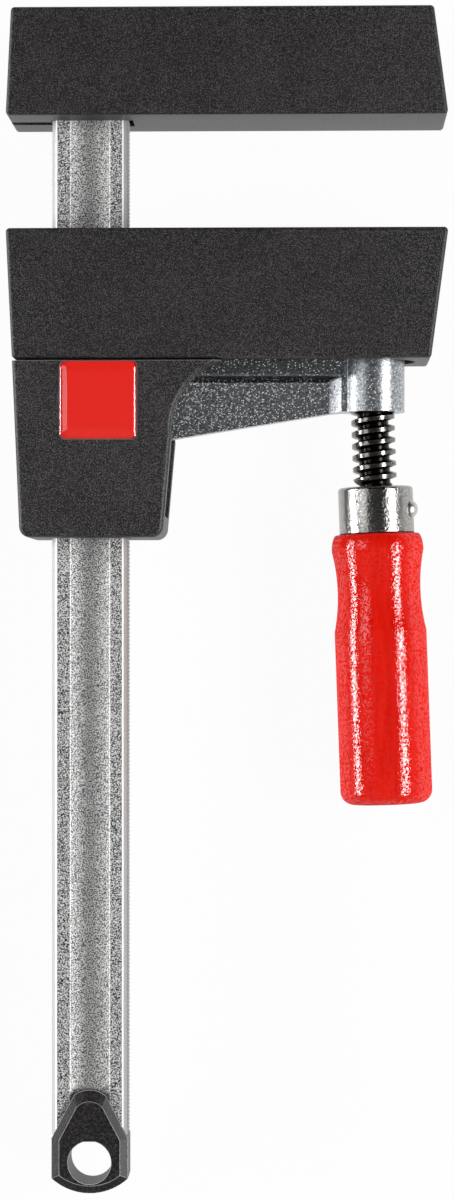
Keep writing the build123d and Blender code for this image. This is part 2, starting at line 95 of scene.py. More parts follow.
# Serrations of the rail, their outline in shares of pitch and height
tooth_pitch = 1.0 * MM
tooth_height = 0.25 * MM
tooth_width = 6.4 * MM
tooth_outline = ((-0.5, 0.0), (-0.2, 0.8), (0.0, 1.0), (0.2, 0.8), (0.5, 0.0))

# Screw: thread, neck and ball, with heights from the middle of the ferrule, and its worn surface
thread_pitch = 3.0 * MM
thread_radius = 5.6 * MM
thread_core_radius = 3.95 * MM
thread_crest = 1.2 * MM
thread_flank = 0.45 * MM
thread_rounding = 0.18
thread_low = 6.0 * MM
thread_high = 49.8 * MM
thread_runout = 1.7 * MM
neck_radius = 3.0 * MM
neck_overlap = 0.2 * MM
ball_radius = 4.5 * MM
ball_height = 60.77 * MM
screw_wear = 0.5 * MM
screw_wear_start = thread_core_radius + 0.5 * MM
screw_wear_full = thread_radius - 0.1 * MM
screw_relief = 0.02 * MM

# Arm: half its web's thickness, where its head starts and ends, and how far its flakes and its painted shade
# reach
arm_web_half = 2.8 * MM
arm_head_y = sliding_jaw_back_y - 4.0 * MM
arm_head_end = boss_end_x - 15.4 * MM
arm_skin = 0.6 * MM
arm_relief = 0.07 * MM
arm_flake = 0.37 * MM
arm_flake_fade = 20 * MM
# Painted shade under the head: how far below it it reaches, where it tapers off, and how soft its edge is
arm_shade_band = 1.45 * MM
arm_shade_taper = 4.5 * MM
arm_shade_edge = 0.15 * MM

# Casings: grain and relief of the jaws and neck, then of the rail's cap
casing_grain = 0.31 * MM
casing_patch = 14.0 * MM
casing_relief = 0.05 * MM
casing_roughness = 0.46
casing_edge_round = 0.25 * MM
cap_grain = 0.5 * MM
cap_relief = 0.03 * MM

# Ferrule and cross pin, and the nickel plate on both
ferrule_radius = 9.6 * MM
ferrule_half = 6.0 * MM
ferrule_edge = 0.9 * MM
ferrule_wall = 1.2 * MM
ferrule_rim_bevel = 0.25 * MM
ferrule_rim_rise = 0.3 * MM
ferrule_mouth_radius = thread_core_radius + 1.2 * MM
ferrule_mouth_bevel = 0.3 * MM
ferrule_mouth_depth = 0.35 * MM
ferrule_relief = 0.025 * MM
pin_radius = 1.6 * MM
pin_head_radius = 2.25 * MM
pin_head_height = 1.5 * MM
pin_head_sink = 0.35 * MM
pin_turn = math.radians(20)
pin_relief = 0.005 * MM
plate_grain = 0.6 * MM
plate_patch = 5.0 * MM

# Handle and its lacquer
handle_length = 69.0 * MM
handle_radius = 11.75 * MM
handle_collar_radius = 10.3 * MM
handle_collar_bevel = 0.3 * MM
handle_neck_radius = 10.6 * MM
handle_collar_length = 4.2 * MM
handle_shoulder_length = 24.8 * MM
handle_end_radius = 3.4 * MM
lacquer_grain = 1.1 * MM
lacquer_wave = 0.6 * MM
lacquer_spot = 0.55 * MM
lacquer_relief = 0.065 * MM

# Badge: its form, its printed foil and its clear resin
badge_rim = 0.35 * MM
badge_float = 0.03 * MM
badge_corner = 1.4 * MM
badge_smallest_corner = 0.5 * MM
badge_corner_shrink = 0.4
foil_grain = 0.4 * MM
resin_ripple = 6.0 * MM
resin_relief = 0.05 * MM

# Crown of the badge: millimetres in from the rim and the share of its height reached there
badge_crown = (
    (0.0, 0.0),
    (0.05, 0.04),
    (0.3, 0.245),
    (0.55, 0.375),
    (0.8, 0.502),
    (1.2, 0.66),
    (1.6, 0.8),
    (2.0, 0.915),
    (2.5, 0.97),
    (3.2, 1.0),
)

# Plain steel inside the casings
mill_patch = 1.2 * MM
mill_relief = 0.05 * MM

# Degrees at which the profile of a dome stops, just short of its top
ball_arc_end = 89.0
pin_arc_end = 88.0

# Steps in which round forms are drawn
rail_corner_steps = 4
rail_groove_steps = 16
thread_segments = 72
ball_segments = 48
ball_steps = 20
ferrule_segments = 96
pin_segments = 32
edge_steps = 8
handle_segments = 128
handle_neck_steps = 24
handle_grip_steps = 12
handle_end_steps = 10
badge_corner_steps = 8

# Turns past which an edge is drawn sharp
usual_crease = math.radians(35)
frame_crease = math.radians(16)
rail_crease = math.radians(30)
thread_crease = math.radians(50)
soft_crease = math.radians(60)

# Distances within which points count as one, and then as level with each other
frame_weld = 0.001 * MM
thread_weld = 0.002 * MM
level_within = 0.01 * MM

# Range that a noise pattern keeps to for the most part
noise_low = 0.3
noise_high = 0.7

# Light: a dark ceiling, pale walls, a soft box on each side and a faint panel on the left
floor_lift = 0.96
floor_size = 4000 * MM
ceiling_light_end = 0.18
ceiling_dark_end = 0.0
ceiling_reach = 0.3
wall_brightness = 0.5
ceiling_edge = 0.36
wall_edge = 0.16

# Lamps: degrees from straight above, metres, and brightness in watts per square metre and steradian
lamp_distance = 1.1
left_box = {"lean": -75.0, "width": 0.18, "length": 0.9, "radiance": 21.0, "along": 0.0}
left_panel = {"lean": -41.0, "width": 0.45, "length": 0.6, "radiance": 2.1, "along": 0.27}
right_box = {"lean": 51.0, "width": 0.27, "length": 0.9, "radiance": 15.0, "along": -0.12}


def to_linear(colour):
    """Linear colour with full alpha from an sRGB hex value."""
    channels = [int(colour[i : i + 2], 16) / 255 for i in (1, 3, 5)]
    return tuple(c / 12.92 if c <= 0.04045 else ((c + 0.055) / 1.055) ** 2.4 for c in channels) + (1.0,)


def set_inputs(tree, node, inputs):
    """Gives a node its inputs: a socket is linked, anything else is set as the value."""
    for name, value in inputs.items():
        if isinstance(value, bpy.types.NodeSocket):
            tree.links.new(value, node.inputs[name])
        else:
            node.inputs[name].default_value = value


def add(tree, kind, inputs=None, **settings):
    """Adds a node with its settings and its inputs."""
    made = tree.nodes.new(kind)
    for name, value in settings.items():
        setattr(made, name, value)
    set_inputs(tree, made, inputs or {})
    return made


def empty_tree(owner):
    """Node tree of a new material or world, with nothing in it."""
    owner.use_nodes = True
    owner.node_tree.nodes.clear()
    return owner.node_tree


def start_material(name):
    """Material with a Principled shader joined to its output, and the place that its patterns follow."""
    material = bpy.data.materials.new(name)
    tree = empty_tree(material)
    shader = add(tree, "ShaderNodeBsdfPrincipled")
    add(tree, "ShaderNodeOutputMaterial", {"Surface": shader.outputs[0]})
    place = add(tree, "ShaderNodeTexCoord").outputs["Object"]
    return material, tree, shader, place


def noise(tree, place, size, detail=2.0, roughness=0.5):
    """Noise pattern whose patches measure about the given length."""
    inputs = {"Vector": place, "Scale": 1 / size, "Detail": detail, "Roughness": roughness}
    return add(tree, "ShaderNodeTexNoise", inputs).outputs[0]


def calculate(tree, operation, *values):
    """Result of one sum on values or sockets."""
    return add(tree, "ShaderNodeMath", dict(enumerate(values)), operation=operation).outputs[0]


def distance(tree, value, level):
    """How far a value is from a level, to either side."""
    return calculate(tree, "ABSOLUTE", calculate(tree, "SUBTRACT", value, level))


def calculate_vector(tree, operation, inputs):
    """Node that works on vectors."""
    return add(tree, "ShaderNodeVectorMath", inputs, operation=operation)


def spread(tree, value, low, high, to_low=0.0, to_high=1.0):
    """Value stretched from one range to another and held inside it."""
    inputs = {"Value": value, "From Min": low, "From Max": high, "To Min": to_low, "To Max": to_high}
    return add(tree, "ShaderNodeMapRange", inputs).outputs[0]


def by_mask(tree, mask, outside, inside):
    """Value that is one thing outside a mask and another inside it."""
    return spread(tree, mask, 0.0, 1.0, outside, inside)


def vary(tree, pattern, middle, swing):
    """Value that follows a noise pattern, this far to either side of its middle."""
    return spread(tree, pattern, noise_low, noise_high, middle - swing, middle + swing)


def blend(tree, amount, first, second):
    """Colour between two others by an amount; each of them is a hex value or a socket."""
    ends = [to_linear(colour) if isinstance(colour, str) else colour for colour in (first, second)]
    # Inputs 6 and 7 are the node's two colours, and output 2 is their mix
    return add(tree, "ShaderNodeMix", {0: amount, 6: ends[0], 7: ends[1]}, data_type="RGBA").outputs[2]


def bump(tree, height, depth, strength=1.0):
    """Surface relief of a real depth."""
    return add(tree, "ShaderNodeBump", {"Height": height, "Distance": depth, "Strength": strength}).outputs[0]


def painted_edge_highlights(tree, most):
    """Mask of painted highlights along a piece's edges, up to a given strength, where its rounded surface
    leaves the real one.
    """
    rounded = add(tree, "ShaderNodeBevel", {"Radius": casing_edge_round}, samples=6).outputs[0]
    level = add(tree, "ShaderNodeNewGeometry").outputs["Normal"]
    alike = calculate_vector(tree, "DOT_PRODUCT", {0: rounded, 1: level}).outputs["Value"]
    return spread(tree, alike, low=0.998, high=0.98, to_high=most)


def grained_casing(name, dark, light, grain=casing_grain, relief=casing_relief, edge_shine=0.0):
    """Glass-filled nylon from a spark-eroded mould: charcoal, with a fine grain that breaks up every
    highlight, and with a painted highlight of the given strength along its edges. The real grain is about
    0.15 mm; it is drawn coarser, so that it shows at this distance."""
    material, tree, shader, place = start_material(name)
    fine = noise(tree, place, grain, roughness=0.7)
    patches = noise(tree, place, casing_patch)
    speckle = spread(tree, fine, low=0.49, high=0.62)
    tone = calculate(tree, "ADD", speckle, vary(tree, patches, middle=0.0, swing=0.05))
    colour = blend(tree, tone, dark, light)
    if edge_shine:
        # Painted highlight: a pale colour along the rounded edges
        colour = blend(tree, painted_edge_highlights(tree, edge_shine), colour, "#d6d2d3")
    surface = {
        "Base Color": colour,
        "Roughness": vary(tree, fine, casing_roughness, swing=0.06),
        "Normal": bump(tree, fine, relief),
        "IOR": 1.53,
        "Specular IOR Level": 0.42,
    }
    set_inputs(tree, shader, surface)
    return material


def zinc_plated_rail():
    """Drawn steel, blasted and zinc plated: flats that glitter like coarse sand, a softer rolled groove,
    smooth bevels, and a painted highlight, a white line, along every edge. The blasted pits are about
    0.2 mm; they are drawn coarser, so that they show at this distance."""
    material, tree, shader, place = start_material("zinc_plated_rail_steel")
    sand = noise(tree, place, rail_grain, detail=1.0, roughness=0.6)
    cloud = noise(tree, place, rail_cloud, detail=3.0)
    glitter = spread(tree, sand, low=0.43, high=0.57)
    tone = calculate(tree, "ADD", glitter, vary(tree, cloud, middle=0.0, swing=0.06))
    groove_half = rail_groove_width / 2
    flat_half = (rail_high.x - rail_low.x - tooth_height) / 2 - rail_edge
    across = add(tree, "ShaderNodeSeparateXYZ", {0: place}).outputs[0]
    from_groove = distance(tree, across, rail_x)
    from_flats = distance(tree, across, rail_x - tooth_height / 2)
    on_flat = spread(tree, from_groove, groove_half - rail_groove_blend, groove_half)
    on_bevel = spread(tree, from_flats, flat_half - rail_bevel_before, flat_half + rail_bevel_past)
    groove = blend(tree, tone, "#434343", "#cfd0ce")
    flat = blend(tree, tone, "#2e2e2d", "#ffffff")
    bevel = blend(tree, tone, "#a2a2a1", "#acacab")
    colour = blend(tree, on_bevel, blend(tree, on_flat, groove, flat), bevel)
    # Painted highlights: white lines along the outer edges and, fainter, along the groove's edges
    for from_middle, edge, shine in ((from_flats, flat_half, 1.0), (from_groove, groove_half, 0.32)):
        from_edge = distance(tree, from_middle, edge)
        line = spread(tree, from_edge, rail_edge_highlight_core, rail_edge_highlight, to_low=shine, to_high=0.0)
        colour = blend(tree, line, colour, "#ffffff")
    sandy = by_mask(tree, on_bevel, 1.0, 0.12)
    surface = {
        "Base Color": colour,
        "Metallic": by_mask(tree, on_flat, 0.42, 0.75),
        "Roughness": 0.54,
        "Normal": bump(tree, sand, rail_relief, sandy),
    }
    set_inputs(tree, shader, surface)
    return material


def flakes_as_painted_sparkle(tree, place, x, z):
    """Mask of the enamel's metal flakes, drawn white as painted sparkle: more of them on the web, and there
    fewer towards the boss.
    """
    cells = add(tree, "ShaderNodeTexVoronoi", {"Vector": place, "Scale": 1 / arm_flake, "Randomness": 1.0})
    lucky = add(tree, "ShaderNodeSeparateColor", {0: cells.outputs["Color"]}).outputs[0]
    from_web = distance(tree, z, middle_z)
    on_web = spread(tree, from_web, arm_web_half, 2 * arm_web_half, to_low=0.18, to_high=0.0)
    fade_start = arm_head_end - arm_flake_fade
    far_from_boss = spread(tree, x, fade_start, arm_head_end, to_low=1.0, to_high=0.1)
    luck = calculate(tree, "ADD", lucky, calculate(tree, "MULTIPLY", on_web, far_from_boss))
    chosen = spread(tree, luck, low=0.74, high=0.84)
    inside = spread(tree, cells.outputs["Distance"], low=0.25, high=0.55, to_low=1.0, to_high=0.0)
    return calculate(tree, "MULTIPLY", chosen, inside)


def arm_painted_shade(tree, x, y):
    """Mask of painted shade on the arm's head and, darker, in the corner under it, as far as the boss."""
    taper_start = arm_head_end - arm_shade_taper
    band = spread(tree, x, taper_start, arm_head_end, to_low=arm_shade_band, to_high=0.0)
    low, high = arm_head_y - arm_shade_edge, arm_head_y + arm_shade_edge
    reached = spread(tree, calculate(tree, "ADD", y, band), low, high)
    thickness = spread(tree, y, low, high, to_low=0.95, to_high=0.5)
    low, high = arm_head_end - arm_shade_edge, arm_head_end + arm_shade_edge
    before_boss = spread(tree, x, low, high, to_low=1.0, to_high=0.0)
    return calculate(tree, "MULTIPLY", calculate(tree, "MULTIPLY", reached, thickness), before_boss)


def hammered_arm_enamel():
    """Malleable iron under silver hammer enamel: dark where it mirrors the ceiling, almost white where it
    mirrors a lamp, with flakes drawn white as painted sparkle, and painted shade on and under its head."""
    material, tree, shader, place = start_material("silver_hammer_enamel")
    x, y, z = add(tree, "ShaderNodeSeparateXYZ", {0: place}).outputs
    skin = noise(tree, place, arm_skin, detail=3.0, roughness=0.7)
    ground = blend(tree, spread(tree, skin, low=0.34, high=0.66), "#70757a", "#c4c8cc")
    # Painted shade: the head is darkened, the corner under it darker still, and the flakes there are dimmed
    # with it
    painted_shade = arm_painted_shade(tree, x, y)
    unshaded = spread(tree, painted_shade, low=0.4, high=1.0, to_low=1.0, to_high=0.35)
    flake_sparkle = calculate(tree, "MULTIPLY", flakes_as_painted_sparkle(tree, place, x, z), unshaded)
    coat = blend(tree, painted_shade, ground, "#1a1c1f")
    surface = {
        # Painted sparkle: the flakes are drawn white and not metallic
        "Base Color": blend(tree, flake_sparkle, coat, "#ffffff"),
        "Metallic": by_mask(tree, flake_sparkle, 0.9, 0.0),
        "Roughness": 0.3,
        "Normal": bump(tree, skin, arm_relief),
    }
    set_inputs(tree, shader, surface)
    return material


def blackened_screw_steel():
    """Rolled thread with black oxide under oil: black in the roots, worn to bright steel along the crests."""
    material, tree, shader, place = start_material("black_oxide_screw_steel")
    middle, axis = tuple(screw_frame.translation), tuple(screw_up)
    from_middle = calculate_vector(tree, "SUBTRACT", {0: place, 1: middle}).outputs["Vector"]
    along = calculate_vector(tree, "DOT_PRODUCT", {0: from_middle, 1: axis}).outputs["Value"]
    axis_point = calculate_vector(tree, "SCALE", {0: axis, "Scale": along}).outputs["Vector"]
    away = calculate_vector(tree, "SUBTRACT", {0: from_middle, 1: axis_point}).outputs["Vector"]
    radius = calculate_vector(tree, "LENGTH", {0: away}).outputs["Value"]
    wear = noise(tree, place, screw_wear, detail=3.0, roughness=0.6)
    crest = spread(tree, radius, screw_wear_start, screw_wear_full)
    rubbed = calculate(tree, "MULTIPLY", crest, spread(tree, wear, low=0.25, high=0.6))
    surface = {
        "Base Color": blend(tree, rubbed, "#211f1d", "#8f8c88"),
        "Metallic": 1.0,
        "Roughness": vary(tree, wear, middle=0.19, swing=0.07),
        "Normal": bump(tree, wear, screw_relief),
    }
    set_inputs(tree, shader, surface)
    return material


def nickel_plate(name, tint, roughness, relief):
    """Nickel plated steel: mirror bright, its reflections frayed by the drawn surface under the plate."""
    material, tree, shader, place = start_material(name)
    drawn = noise(tree, place, plate_grain, roughness=0.6)
    soft = noise(tree, place, plate_patch, detail=1.0)
    surface = {
        "Base Color": blend(tree, drawn, tint, "#c4c2bf"),
        "Metallic": 1.0,
        "Roughness": vary(tree, soft, roughness, swing=0.05),
        "Normal": bump(tree, spread(tree, drawn, low=0.42, high=0.58), relief),
    }
    set_inputs(tree, shader, surface)
    return material


def red_lacquered_beech():
    """Turned beech under thick red lacquer: a deep even red, its gloss wavy and full of fine spots that
    break up the highlights."""
    material, tree, shader, place = start_material("red_lacquered_beech")
    stretched = add(tree, "ShaderNodeMapping", {"Vector": place, "Scale": (1.0, 0.1, 1.0)}).outputs[0]
    grain = noise(tree, stretched, lacquer_grain)
    waves = noise(tree, place, lacquer_wave, roughness=0.7)
    spots = noise(tree, place, lacquer_spot, detail=1.0, roughness=0.6)
    surface = {
        "Base Color": blend(tree, vary(tree, grain, middle=0.5, swing=0.5), "#da1409", "#e91f12"),
        "Roughness": 0.5,
        "Specular IOR Level": 0.0,
        "Coat Weight": spread(tree, spots, low=0.42, high=0.56, to_high=0.34),
        "Coat Roughness": 0.06,
        "Coat IOR": 3.0,
        "Coat Normal": bump(tree, waves, lacquer_relief),
    }
    set_inputs(tree, shader, surface)
    return material


def printed_red_foil():
    """Printed vinyl under the badge's resin: flat, saturated red."""
    material, tree, shader, place = start_material("printed_red_foil")
    print_grain = noise(tree, place, foil_grain)
    surface = {"Base Color": blend(tree, print_grain, "#fa1d10", "#ff2718"), "Roughness": 0.4}
    set_inputs(tree, shader, surface)
    return material


def clear_badge_resin():
    """Poured polyurethane dome: clear as glass over the foil, bright where it rolls down to its rim."""
    material = bpy.data.materials.new("clear_badge_resin")
    tree = empty_tree(material)
    place = add(tree, "ShaderNodeTexCoord").outputs["Object"]
    ripple = bump(tree, noise(tree, place, resin_ripple, detail=1.0), resin_relief)
    sheen = add(tree, "ShaderNodeFresnel", {"IOR": 1.75, "Normal": ripple}).outputs[0]
    inside = add(tree, "ShaderNodeNewGeometry").outputs["Backfacing"]
    shine = calculate(tree, "MULTIPLY", sheen, by_mask(tree, inside, 1.0, 0.0))
    gloss = add(tree, "ShaderNodeBsdfAnisotropic", {"Roughness": 0.04, "Normal": ripple}).outputs[0]
    clear = add(tree, "ShaderNodeBsdfTransparent").outputs[0]
    mix = add(tree, "ShaderNodeMixShader", {0: shine, 1: clear, 2: gloss}).outputs[0]
    add(tree, "ShaderNodeOutputMaterial", {"Surface": mix})
    return material


def oiled_steel(name, dark, light, roughness):
    """Pressed or cast steel left bright under oil: grey, uneven, with a soft shine."""
    material, tree, shader, place = start_material(name)
    mill = noise(tree, place, mill_patch, detail=4.0, roughness=0.6)
    surface = {
        "Base Color": blend(tree, mill, dark, light),
        "Metallic": 1.0,
        "Roughness": roughness,
        "Normal": bump(tree, mill, mill_relief),
    }
    set_inputs(tree, shader, surface)
    return material


def link_object(name, data):
    """New object at the origin with the given mesh, lamp or camera."""
    piece = bpy.data.objects.new(name, data)
    bpy.context.scene.collection.objects.link(piece)
    return piece


def dress(piece, material, body, slot, *nodes):
    """Gives a finished piece its material and its body, and hides the frame's nodes that it stands for. Its
    slot is not used.
    """
    piece.data.materials.clear()
    piece.data.materials.append(material)
    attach(piece, body)
    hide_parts(*nodes)


def shaded_piece(name, mesh, crease):
    """Object from a finished bmesh, smooth except along edges that turn by more than the crease."""
    for face in mesh.faces:
        face.smooth = True
    for edge in mesh.edges:
        edge.smooth = len(edge.link_faces) == 2 and edge.calc_face_angle() < crease
    data = bpy.data.meshes.new(name)
    mesh.to_mesh(data)
    mesh.free()
    return link_object(name, data)


def to_piece(name, mesh, crease=usual_crease):
    """Object from a bmesh of the script's own, with its normals turned out."""
    bmesh.ops.recalc_face_normals(mesh, faces=mesh.faces)
    return shaded_piece(name, mesh, crease)


def welded_copy(node, name):
    """Copy of a frame node with its loose triangles joined."""
    mesh = bmesh.new()
    mesh.from_mesh(frame["nodes"][node].data)
    bmesh.ops.remove_doubles(mesh, verts=mesh.verts, dist=frame_weld)
    return shaded_piece(name, mesh, frame_crease)


def join_rings(mesh, lower, upper):
    """Quads between two closed rows of as many points."""
    for i in range(len(lower)):
        j = (i + 1) % len(lower)
        mesh.faces.new((lower[i], lower[j], upper[j], upper[i]))


def rounded_outline(corners, radius, steps):
    """Closed outline whose corners are replaced by short curves."""
    points = []
    for i, corner in enumerate(corners):
        tip = Vector(corner)
        before = (Vector(corners[i - 1]) - tip).normalized()
        after = (Vector(corners[(i + 1) % len(corners)]) - tip).normalized()
        reach = radius / math.tan(before.angle(after) / 2)
        start, end = tip + before * reach, tip + after * reach
        for step in range(steps + 1):
            share = step / steps
            points.append(start.lerp(tip, share).lerp(tip.lerp(end, share), share))
    return points


def lathe(name, profile, place, segments, crease=usual_crease):
    """Solid turned about the place's Z from pairs of radius and height, the first and last on the axis."""
    mesh = bmesh.new()
    rings = []
    for radius, height in profile:
        count = segments if radius else 1
        angles = [2 * math.pi * i / segments for i in range(count)]
        points = [Vector((radius * math.cos(a), radius * math.sin(a), height)) for a in angles]
        rings.append([mesh.verts.new(place @ point) for point in points])
    for lower, upper in zip(rings, rings[1:]):
        for i in range(segments):
            j = (i + 1) % segments
            low_side = [lower[i % len(lower)], lower[j % len(lower)]]
            high_side = [upper[j % len(upper)], upper[i % len(upper)]]
            mesh.faces.new(list(dict.fromkeys(low_side + high_side)))
    return to_piece(name, mesh, crease)


def arc(centre, radius, start, end, steps):
    """Points on an arc of a profile, angles in degrees."""
    angles = [math.radians(start + (end - start) * i / steps) for i in range(steps + 1)]
    return [(centre[0] + radius * math.cos(a), centre[1] + radius * math.sin(a)) for a in angles]


def arc_through(first, middle, last, steps):
    """Points on the shallow arc through three points of a profile, the middle one half way."""
    half_chord = abs(last[1] - first[1]) / 2
    sag = first[0] - middle[0]
    radius = (half_chord**2 + sag**2) / (2 * sag)
    points = []
    for i in range(steps + 1):
        height = first[1] + (last[1] - first[1]) * i / steps
        away = height - middle[1]
        points.append((middle[0] + radius - math.sqrt(radius**2 - away**2), height))
    return points


def groove_section():
    """Places across the rail's groove and how deep it is at each."""
    half = rail_groove_width / 2
    radius = (half**2 + rail_groove_depth**2) / (2 * rail_groove_depth)
    section = []
    for i in range(rail_groove_steps + 1):
        across = -half + rail_groove_width * i / rail_groove_steps
        section.append((across, math.sqrt(radius**2 - across**2) - (radius - rail_groove_depth)))
    return section


def rail_section():
    """Outline of the rail: bevelled, grooved in each broad face, a little narrower where its teeth stand."""
    half_width = (rail_high.x - rail_low.x) / 2
    half_thick = (rail_high.z - rail_low.z) / 2
    front = half_width - tooth_height
    corners = [
        (-half_width, -half_thick + rail_edge),
        (-half_width + rail_edge, -half_thick),
        (front - rail_edge, -half_thick),
        (front, -half_thick + rail_edge),
        (front, half_thick - rail_edge),
        (front - rail_edge, half_thick),
        (-half_width + rail_edge, half_thick),
        (-half_width, half_thick - rail_edge),
    ]
    outline = rounded_outline(corners, rail_edge_round, rail_corner_steps)
    section = []
    for point, following in zip(outline, outline[1:] + outline[:1]):
        section.append(point)
        level = abs(point.y - following.y) < level_within
        on_face = level and abs(point.x - following.x) > rail_groove_width
        if on_face and point.y < 0:
            section += [Vector((x, -half_thick + drop)) for x, drop in groove_section()]
        if on_face and point.y > 0:
            section += [Vector((x, half_thick - drop)) for x, drop in reversed(groove_section())]
    return section


def make_rail():
    """Rail with crisp groove edges and rounded outer edges."""
    section = rail_section()
    mesh = bmesh.new()
    ends = []
    for y in (rail_low.y, rail_high.y):
        ends.append([mesh.verts.new((rail_x + point.x, y, middle_z + point.y)) for point in section])
    join_rings(mesh, *ends)
    for end in ends:
        bmesh.ops.triangulate(mesh, faces=[mesh.faces.new(end)])
    return to_piece("rail_bar", mesh, rail_crease)


def make_tooth():
    """One ridge of the rail's serrated edge, with a rounded back."""
    mesh = bmesh.new()
    sides = []
    for z in (-tooth_width / 2, tooth_width / 2):
        points = [(out * tooth_height, along * tooth_pitch, z) for along, out in tooth_outline]
        sides.append([mesh.verts.new(point) for point in points])
    join_rings(mesh, *sides)
    for side in sides:
        mesh.faces.new(side)
    return to_piece("rail_tooth", mesh)


def repeated_along_line(material):
    """Geometry nodes that repeat one object along a line of points and give it a material."""
    tree = bpy.data.node_groups.new("serrated_edge", "GeometryNodeTree")
    for name, kind in (
        ("Geometry", "NodeSocketGeometry"),
        ("Ridge", "NodeSocketObject"),
        ("Pitch", "NodeSocketFloat"),
        ("Count", "NodeSocketInt"),
        ("Start", "NodeSocketVector"),
    ):
        tree.interface.new_socket(name, in_out="INPUT", socket_type=kind)
    tree.interface.new_socket("Geometry", in_out="OUTPUT", socket_type="NodeSocketGeometry")
    entry = add(tree, "NodeGroupInput").outputs
    step = add(tree, "ShaderNodeCombineXYZ", {"Y": entry["Pitch"]}).outputs[0]
    places = {"Count": entry["Count"], "Start Location": entry["Start"], "Offset": step}
    line = add(tree, "GeometryNodeMeshLine", places, mode="OFFSET").outputs[0]
    ridge = add(tree, "GeometryNodeObjectInfo", {"Object": entry["Ridge"]}).outputs["Geometry"]
    ridges = add(tree, "GeometryNodeInstanceOnPoints", {"Points": line, "Instance": ridge}).outputs[0]
    real = add(tree, "GeometryNodeRealizeInstances", {"Geometry": ridges}).outputs[0]
    finish = add(tree, "GeometryNodeSetMaterial", {"Geometry": real, "Material": material}).outputs[0]
    add(tree, "NodeGroupOutput", {"Geometry": finish})
    return tree


def make_rail_teeth(material):
    """Serrations on the throat side of the rail."""
    tooth = make_tooth()
    tree = repeated_along_line(material)
    holder = link_object("rail_teeth", bpy.data.meshes.new("rail_teeth"))
    modifier = holder.modifiers.new("teeth", "NODES")
    modifier.node_group = tree
    names = {item.name: item.identifier for item in tree.interface.items_tree if item.in_out == "INPUT"}
    length = rail_high.y - rail_low.y - 2 * tooth_pitch
    modifier[names["Ridge"]] = tooth
    modifier[names["Pitch"]] = tooth_pitch
    modifier[names["Count"]] = int(length / tooth_pitch)
    modifier[names["Start"]] = (rail_high.x - tooth_height, rail_low.y + tooth_pitch, middle_z)
    graph = bpy.context.evaluated_depsgraph_get()
    result = bpy.data.meshes.new_from_object(holder.evaluated_get(graph), depsgraph=graph)
    holder.modifiers.clear()
    holder.data = result
    bpy.data.objects.remove(tooth)
    return holder


def thread_radius_at(phase):
    """Radius of the trapezoidal thread at a share of its pitch, counted from the middle of a crest."""
    away = abs(phase - round(phase)) * thread_pitch
    climb = (thread_crest / 2 + thread_flank - away) / thread_flank
    return thread_core_radius + (thread_radius - thread_core_radius) * min(max(climb, 0.0), 1.0)


def thread_phases():
    """Shares of a pitch at which the thread is drawn: crest, root and both sides of each rounded corner."""
    crest = thread_crest / 2 / thread_pitch
    flank = thread_flank / thread_pitch
    falling = [
        crest * (1 - thread_rounding),
        crest + flank * thread_rounding,
        crest + flank * (1 - thread_rounding),
        crest + flank * (1 + thread_rounding),
    ]
    return [0.0, *falling, 0.5, *(1 - phase for phase in reversed(falling))]


def thread_point(row, turned):
    """Point of the thread at a number of pitches and a share of a turn, faded into the core at both ends."""
    held = min(max(thread_low + (row + turned) * thread_pitch, thread_low), thread_high)
    fade = min((held - thread_low) / thread_runout, (thread_high - held) / thread_runout, 1.0)
    radius = thread_core_radius + (thread_radius_at(row) - thread_core_radius) * fade
    angle = 2 * math.pi * turned
    return screw_frame @ Vector((radius * math.cos(angle), radius * math.sin(angle), held))


def make_thread():
    """Right-hand trapezoidal thread as one helical surface, closed at both ends."""
    phases = thread_phases()
    turns = math.ceil((thread_high - thread_low) / thread_pitch) + 2
    rows = [turn + phase for turn in range(-1, turns) for phase in phases]
    mesh = bmesh.new()
    grid = []
    for row in rows:
        grid.append([mesh.verts.new(thread_point(row, i / thread_segments)) for i in range(thread_segments)])
    for row in range(len(rows) - 1):
        for i in range(thread_segments):
            j = (i + 1) % thread_segments
            climbed = row if j else row + len(phases)
            if climbed + 1 < len(rows):
                mesh.faces.new((grid[row][i], grid[climbed][j], grid[climbed + 1][j], grid[row + 1][i]))
    bmesh.ops.remove_doubles(mesh, verts=mesh.verts, dist=thread_weld)
    bmesh.ops.dissolve_degenerate(mesh, edges=mesh.edges, dist=frame_weld)
    loose = [vert for vert in mesh.verts if not vert.link_faces]
    bmesh.ops.delete(mesh, geom=loose, context="VERTS")
    bmesh.ops.holes_fill(mesh, edges=[edge for edge in mesh.edges if edge.is_boundary], sides=0)
    return to_piece("screw_thread", mesh, thread_crease)


def make_screw_neck():
    """Plain neck and ball above the thread."""
    join = math.sqrt(ball_radius**2 - neck_radius**2)
    start = math.degrees(math.atan2(-join, neck_radius))
    profile = [(0, thread_high - neck_overlap), (neck_radius, thread_high - neck_overlap)]
    profile += arc((0, ball_height), ball_radius, start, ball_arc_end, ball_steps)
    profile += [(0, ball_height + ball_radius)]
    return lathe("screw_ball", profile, screw_frame, ball_segments)


def make_ferrule():
    """Drawn steel cup, its top edge rounded, with a dished mouth round the screw and a bevelled rim."""
    inner = ferrule_radius - ferrule_wall
    corner = (ferrule_radius - ferrule_edge, ferrule_half - ferrule_edge)
    dish = ferrule_half - ferrule_mouth_depth
    profile = [
        (0, ferrule_half - ferrule_wall),
        (inner, ferrule_half - ferrule_wall),
        (inner, -ferrule_half),
        (ferrule_radius - ferrule_rim_bevel, -ferrule_half),
        (ferrule_radius, -ferrule_half + ferrule_rim_rise),
        *arc(corner, ferrule_edge, 0, 90, edge_steps),
        (ferrule_mouth_radius, ferrule_half),
        (ferrule_mouth_radius - ferrule_mouth_bevel, dish),
        (0, dish),
    ]
    return lathe("handle_ferrule", profile, screw_frame, ferrule_segments)


